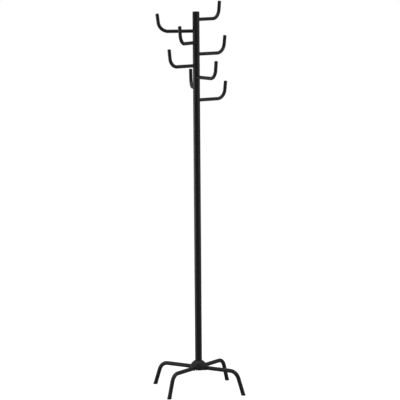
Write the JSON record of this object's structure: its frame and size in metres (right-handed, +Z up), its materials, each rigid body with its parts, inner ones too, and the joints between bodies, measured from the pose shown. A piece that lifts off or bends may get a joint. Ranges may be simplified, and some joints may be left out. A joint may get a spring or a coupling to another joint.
{
  "type": "standing coat rack",
  "caption": "Free-standing coat rack: a slim pole with bent-tube hooks pointing several ways at its top, on arched tube legs that meet in a domed hub.",
  "frame": {"origin": "on the pole's axis at floor level", "axes": "+Z up along the pole; the legs lie along +X, +Y, -X and -Y"},
  "size_m": [0.5118, 0.5118, 1.8],
  "materials": {
    "powder_coat": "satin black powder coat on steel tube",
    "black_plastic": "satin moulded black plastic",
    "cover_plastic": "fine-grained moulded black plastic",
    "foot_rubber": "matte black rubber-like plastic",
    "dark_steel": "black oxide on turned and cast steel",
    "zinc_steel": "bright zinc plate"
  },
  "bodies": {
    "root": {"pole_upper": "powder_coat", "pole_middle": "powder_coat", "pole_lower": "powder_coat", "pole_top_cap": "black_plastic", "upper_joint_stud": "zinc_steel", "upper_joint_socket": "dark_steel", "lower_joint_stud": "zinc_steel", "lower_joint_socket": "dark_steel", "pole_foot_plug": "zinc_steel", "hook_1_tube": "powder_coat", "hook_1_tip": "black_plastic", "hook_1_stud": "zinc_steel", "hook_1_nut": "zinc_steel", "hook_2_tube": "powder_coat", "hook_2_tip": "black_plastic", "hook_2_stud": "zinc_steel", "hook_2_nut": "zinc_steel", "hook_3_tube": "powder_coat", "hook_3_tip": "black_plastic", "hook_3_stud": "zinc_steel", "hook_3_nut": "zinc_steel", "hook_4_tube": "powder_coat", "hook_4_tip": "black_plastic", "hook_4_stud": "zinc_steel", "hook_4_nut": "zinc_steel", "hook_5_tube": "powder_coat", "hook_5_tip": "black_plastic", "hook_5_stud": "zinc_steel", "hook_5_nut": "zinc_steel", "hook_6_tube": "powder_coat", "hook_6_tip": "black_plastic", "hook_6_stud": "zinc_steel", "hook_6_nut": "zinc_steel", "hook_7_tube": "powder_coat", "hook_7_tip": "black_plastic", "hook_7_stud": "zinc_steel", "hook_7_nut": "zinc_steel", "hook_8_tube": "powder_coat", "hook_8_tip": "black_plastic", "hook_8_stud": "zinc_steel", "hook_8_nut": "zinc_steel", "leg_1": "powder_coat", "foot_cap_1": "foot_rubber", "leg_screw_1": "zinc_steel", "leg_2": "powder_coat", "foot_cap_2": "foot_rubber", "leg_screw_2": "zinc_steel", "leg_3": "powder_coat", "foot_cap_3": "foot_rubber", "leg_screw_3": "zinc_steel", "leg_4": "powder_coat", "foot_cap_4": "foot_rubber", "leg_screw_4": "zinc_steel", "base_hub": "dark_steel", "hub_cover": "cover_plastic", "tie_bolt": "zinc_steel", "tie_washer": "zinc_steel"}
  },
  "joints": []
}
